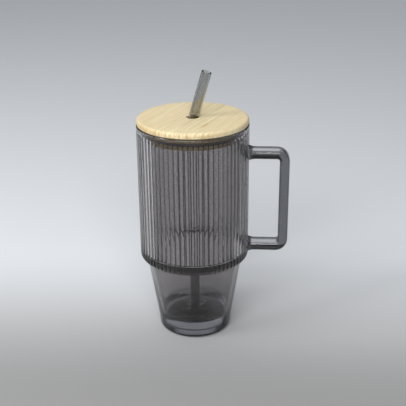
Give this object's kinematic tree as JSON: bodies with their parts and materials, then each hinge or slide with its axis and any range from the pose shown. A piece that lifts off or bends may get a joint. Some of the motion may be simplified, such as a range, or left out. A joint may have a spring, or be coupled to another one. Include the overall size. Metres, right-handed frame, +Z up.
{
  "type": "drinking jar",
  "caption": "Smoke-glass drinking jar with a ribbed upper wall, a tapered smooth foot, a square side handle, a bamboo plug lid with a silicone ring, and a bent glass straw.",
  "frame": {"origin": "centre of the jar's flat base, on the jar's axis", "axes": "+Z up along the jar's axis, +X from the axis to the handle"},
  "size_m": [0.1229, 0.0904, 0.2229],
  "materials": {
    "tumbler": "clear smoke-grey glass",
    "handle": "clear smoke-grey glass",
    "lid": "pale bamboo, sanded and oiled",
    "lid_seal": "smoke-grey translucent silicone",
    "straw": "clear smoke-grey glass"
  },
  "bodies": {
    "jar": {"tumbler": "tumbler", "handle": "handle"},
    "seal_ring": {"lid_seal": "lid_seal"},
    "lid": {"lid": "lid"},
    "straw": {"straw": "straw"}
  },
  "joints": [
    {"name": "lid_lift", "type": "slide", "parent": "jar", "child": "seal_ring", "axis": [0, 0, 1], "range_m": [0, 0.18]},
    {"name": "lid_twist", "type": "hinge", "parent": "seal_ring", "child": "lid", "pos_m": [0, 0, 0.1807], "axis": [0, 0, 1], "continuous": true},
    {"name": "straw_lift", "type": "slide", "parent": "lid", "child": "straw", "axis": [0, 0, 1], "range_m": [0, 0.18]}
  ]
}
